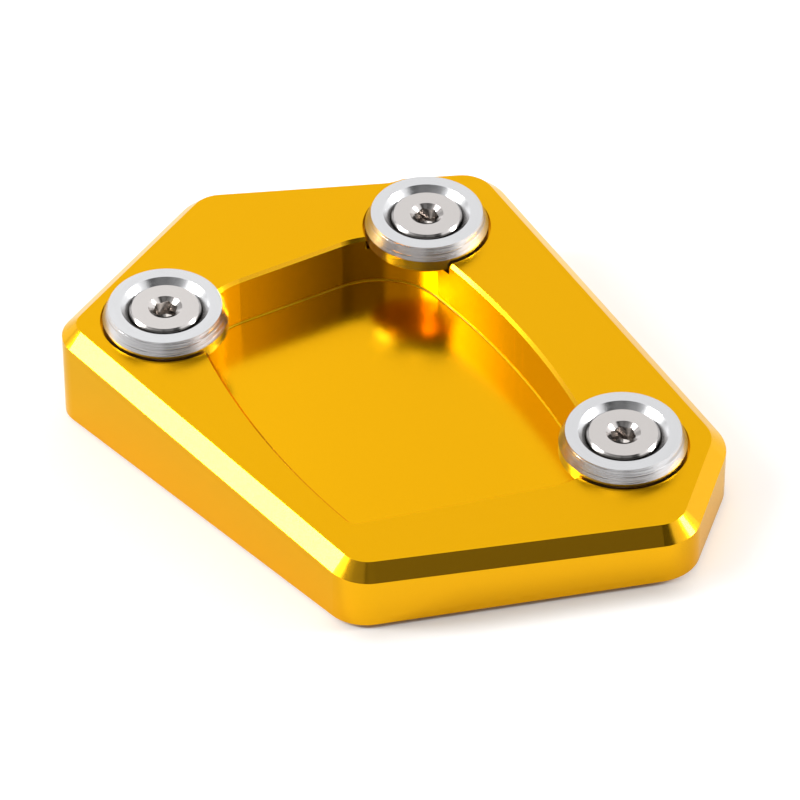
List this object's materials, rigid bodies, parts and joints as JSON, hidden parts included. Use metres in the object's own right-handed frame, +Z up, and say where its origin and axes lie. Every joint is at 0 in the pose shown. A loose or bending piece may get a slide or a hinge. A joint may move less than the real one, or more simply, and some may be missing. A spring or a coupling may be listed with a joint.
{
  "type": "kickstand foot enlarger",
  "caption": "Wedge-shaped foot plate for a motorcycle side stand, with a bevelled rim, a pocket for the stand's foot and round clamp washers on countersunk socket screws.",
  "frame": {"origin": "middle of the bounding box's bottom, on the ground face of the plate", "axes": "+Z up from the ground, +Y towards the thick back end, +X towards the side with the back and right clamps"},
  "size_m": [0.0676, 0.093, 0.0173],
  "materials": {
    "gold_plate": "gold anodised, satin",
    "turned_washer": "fine turned, bright",
    "screw": "smooth, bright"
  },
  "bodies": {
    "root": {"base_plate": "gold_plate", "clamp_washer_back": "turned_washer", "clamp_washer_left": "turned_washer", "clamp_washer_right": "turned_washer", "clamp_screw_back": "screw", "clamp_screw_left": "screw", "clamp_screw_right": "screw"}
  },
  "joints": []
}
